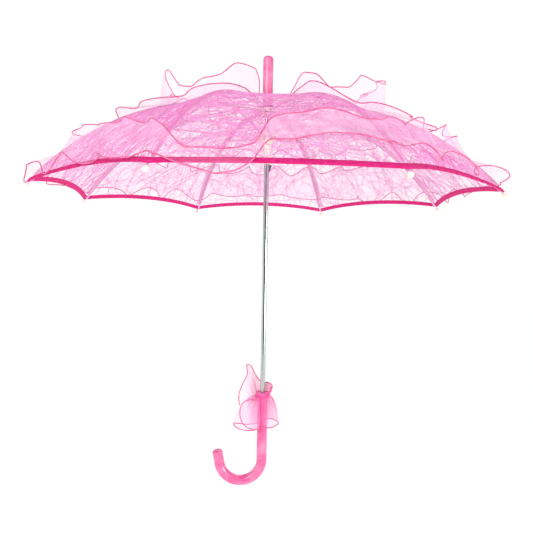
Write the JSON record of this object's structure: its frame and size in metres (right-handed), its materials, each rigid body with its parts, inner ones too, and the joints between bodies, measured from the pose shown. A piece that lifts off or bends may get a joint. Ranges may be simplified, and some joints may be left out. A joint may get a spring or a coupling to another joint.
{
  "type": "lace parasol",
  "caption": "Small open lace parasol with a J handle, steel shaft, folding curved ribs, sliding runner with spring catches, bound hem and organza ruffles.",
  "frame": {"origin": "on the shaft's axis in the middle of the handle's straight grip", "axes": "+Z along the shaft towards the ferrule, the hook curls towards -X, +Y across the hook"},
  "size_m": [0.6568, 0.6568, 0.6852],
  "materials": {
    "shaft_steel": "bright plated tube",
    "frame_steel": "plain drawn steel",
    "pink_plastic": "glossy moulded plastic",
    "ivory_plastic": "smooth moulded plastic",
    "lace": "open lace net of fine crossing threads",
    "hem_binding": "folded satin binding",
    "organza": "sheer organza with a corded edge"
  },
  "bodies": {
    "shaft": {"shaft_tube": "shaft_steel", "ferrule": "pink_plastic", "crown": "ivory_plastic", "crown_ring_wire": "frame_steel", "crown_cap": "lace", "handle": "pink_plastic", "grip_ruffle": "organza", "ruffle_tie": "hem_binding"},
    "runner": {"runner": "ivory_plastic", "runner_ring_wire": "frame_steel"},
    "top_catch": {"top_catch": "frame_steel"},
    "lower_catch": {"lower_catch": "frame_steel"},
    "rib_1": {"rib_1": "frame_steel", "rib_tip_1": "ivory_plastic", "canopy_1": "lace", "hem_1": "hem_binding", "ruffle_1": "organza"},
    "rib_2": {"rib_2": "frame_steel", "rib_tip_2": "ivory_plastic", "canopy_2": "lace", "hem_2": "hem_binding", "ruffle_2": "organza"},
    "rib_3": {"rib_3": "frame_steel", "rib_tip_3": "ivory_plastic", "canopy_3": "lace", "hem_3": "hem_binding", "ruffle_3": "organza"},
    "rib_4": {"rib_4": "frame_steel", "rib_tip_4": "ivory_plastic", "canopy_4": "lace", "hem_4": "hem_binding", "ruffle_4": "organza"},
    "rib_5": {"rib_5": "frame_steel", "rib_tip_5": "ivory_plastic", "canopy_5": "lace", "hem_5": "hem_binding", "ruffle_5": "organza"},
    "rib_6": {"rib_6": "frame_steel", "rib_tip_6": "ivory_plastic", "canopy_6": "lace", "hem_6": "hem_binding", "ruffle_6": "organza"},
    "rib_7": {"rib_7": "frame_steel", "rib_tip_7": "ivory_plastic", "canopy_7": "lace", "hem_7": "hem_binding", "ruffle_7": "organza"},
    "rib_8": {"rib_8": "frame_steel", "rib_tip_8": "ivory_plastic", "canopy_8": "lace", "hem_8": "hem_binding", "ruffle_8": "organza"},
    "stretcher_1": {"stretcher_1": "frame_steel"},
    "stretcher_2": {"stretcher_2": "frame_steel"},
    "stretcher_3": {"stretcher_3": "frame_steel"},
    "stretcher_4": {"stretcher_4": "frame_steel"},
    "stretcher_5": {"stretcher_5": "frame_steel"},
    "stretcher_6": {"stretcher_6": "frame_steel"},
    "stretcher_7": {"stretcher_7": "frame_steel"},
    "stretcher_8": {"stretcher_8": "frame_steel"}
  },
  "joints": [
    {"name": "runner_slide", "type": "slide", "parent": "shaft", "child": "runner", "axis": [0, 0, -1], "range_m": [0, 0.2793], "deforming": ["top_catch", "lower_catch"]},
    {"name": "top_catch_press", "type": "hinge", "parent": "shaft", "child": "top_catch", "pos_m": [0, 0, 0.433], "axis": [0, -1, 0], "range_deg": [0, 14.5], "stiffness_Nm_per_rad": 0.02},
    {"name": "lower_catch_press", "type": "hinge", "parent": "shaft", "child": "lower_catch", "pos_m": [0, 0, 0.1975], "axis": [-1, 0, 0], "range_deg": [0, 14.5], "stiffness_Nm_per_rad": 0.02},
    {"name": "rib_1_fold", "type": "hinge", "parent": "shaft", "child": "rib_1", "pos_m": [0.00344, -0.00831, 0.533], "axis": [0.9239, 0.3827, 0], "range_deg": [0, 68.03], "deforming": ["canopy_1", "hem_1", "ruffle_1"]},
    {"name": "rib_2_fold", "type": "hinge", "parent": "shaft", "child": "rib_2", "pos_m": [0.00831, -0.00344, 0.533], "axis": [0.3827, 0.9239, 0], "range_deg": [0, 68.03], "deforming": ["canopy_2", "hem_2", "ruffle_2"]},
    {"name": "rib_3_fold", "type": "hinge", "parent": "shaft", "child": "rib_3", "pos_m": [0.00831, 0.00344, 0.533], "axis": [-0.3827, 0.9239, 0], "range_deg": [0, 68.03], "deforming": ["canopy_3", "hem_3", "ruffle_3"]},
    {"name": "rib_4_fold", "type": "hinge", "parent": "shaft", "child": "rib_4", "pos_m": [0.00344, 0.00831, 0.533], "axis": [-0.9239, 0.3827, 0], "range_deg": [0, 68.03], "deforming": ["canopy_4", "hem_4", "ruffle_4"]},
    {"name": "rib_5_fold", "type": "hinge", "parent": "shaft", "child": "rib_5", "pos_m": [-0.00344, 0.00831, 0.533], "axis": [-0.9239, -0.3827, 0], "range_deg": [0, 68.03], "deforming": ["canopy_5", "hem_5", "ruffle_5"]},
    {"name": "rib_6_fold", "type": "hinge", "parent": "shaft", "child": "rib_6", "pos_m": [-0.00831, 0.00344, 0.533], "axis": [-0.3827, -0.9239, 0], "range_deg": [0, 68.03], "deforming": ["canopy_6", "hem_6", "ruffle_6"]},
    {"name": "rib_7_fold", "type": "hinge", "parent": "shaft", "child": "rib_7", "pos_m": [-0.00831, -0.00344, 0.533], "axis": [0.3827, -0.9239, 0], "range_deg": [0, 68.03], "deforming": ["canopy_7", "hem_7", "ruffle_7"]},
    {"name": "rib_8_fold", "type": "hinge", "parent": "shaft", "child": "rib_8", "pos_m": [-0.00344, -0.00831, 0.533], "axis": [0.9239, -0.3827, 0], "range_deg": [0, 68.03], "deforming": ["canopy_8", "hem_8", "ruffle_8"]},
    {"name": "stretcher_1_swing", "type": "hinge", "parent": "rib_1", "child": "stretcher_1", "pos_m": [0.06678, -0.16123, 0.51838], "axis": [-0.9239, -0.3827, 0], "range_deg": [0, 133.01]},
    {"name": "stretcher_2_swing", "type": "hinge", "parent": "rib_2", "child": "stretcher_2", "pos_m": [0.16123, -0.06678, 0.51838], "axis": [-0.3827, -0.9239, 0], "range_deg": [0, 133.01]},
    {"name": "stretcher_3_swing", "type": "hinge", "parent": "rib_3", "child": "stretcher_3", "pos_m": [0.16123, 0.06678, 0.51838], "axis": [0.3827, -0.9239, 0], "range_deg": [0, 133.01]},
    {"name": "stretcher_4_swing", "type": "hinge", "parent": "rib_4", "child": "stretcher_4", "pos_m": [0.06678, 0.16123, 0.51838], "axis": [0.9239, -0.3827, 0], "range_deg": [0, 133.01]},
    {"name": "stretcher_5_swing", "type": "hinge", "parent": "rib_5", "child": "stretcher_5", "pos_m": [-0.06678, 0.16123, 0.51838], "axis": [0.9239, 0.3827, 0], "range_deg": [0, 133.01]},
    {"name": "stretcher_6_swing", "type": "hinge", "parent": "rib_6", "child": "stretcher_6", "pos_m": [-0.16123, 0.06678, 0.51838], "axis": [0.3827, 0.9239, 0], "range_deg": [0, 133.01]},
    {"name": "stretcher_7_swing", "type": "hinge", "parent": "rib_7", "child": "stretcher_7", "pos_m": [-0.16123, -0.06678, 0.51838], "axis": [-0.3827, 0.9239, 0], "range_deg": [0, 133.01]},
    {"name": "stretcher_8_swing", "type": "hinge", "parent": "rib_8", "child": "stretcher_8", "pos_m": [-0.06678, -0.16123, 0.51838], "axis": [-0.9239, 0.3827, 0], "range_deg": [0, 133.01]}
  ],
  "couplings": [
    {"joint": "rib_1_fold", "follows": "runner_slide", "rad_per_m": 4.248},
    {"joint": "rib_2_fold", "follows": "runner_slide", "rad_per_m": 4.248},
    {"joint": "rib_3_fold", "follows": "runner_slide", "rad_per_m": 4.248},
    {"joint": "rib_4_fold", "follows": "runner_slide", "rad_per_m": 4.248},
    {"joint": "rib_5_fold", "follows": "runner_slide", "rad_per_m": 4.248},
    {"joint": "rib_6_fold", "follows": "runner_slide", "rad_per_m": 4.248},
    {"joint": "rib_7_fold", "follows": "runner_slide", "rad_per_m": 4.248},
    {"joint": "rib_8_fold", "follows": "runner_slide", "rad_per_m": 4.248},
    {"joint": "stretcher_1_swing", "follows": "runner_slide", "rad_per_m": 8.3084},
    {"joint": "stretcher_2_swing", "follows": "runner_slide", "rad_per_m": 8.3084},
    {"joint": "stretcher_3_swing", "follows": "runner_slide", "rad_per_m": 8.3084},
    {"joint": "stretcher_4_swing", "follows": "runner_slide", "rad_per_m": 8.3084},
    {"joint": "stretcher_5_swing", "follows": "runner_slide", "rad_per_m": 8.3084},
    {"joint": "stretcher_6_swing", "follows": "runner_slide", "rad_per_m": 8.3084},
    {"joint": "stretcher_7_swing", "follows": "runner_slide", "rad_per_m": 8.3084},
    {"joint": "stretcher_8_swing", "follows": "runner_slide", "rad_per_m": 8.3084}
  ]
}
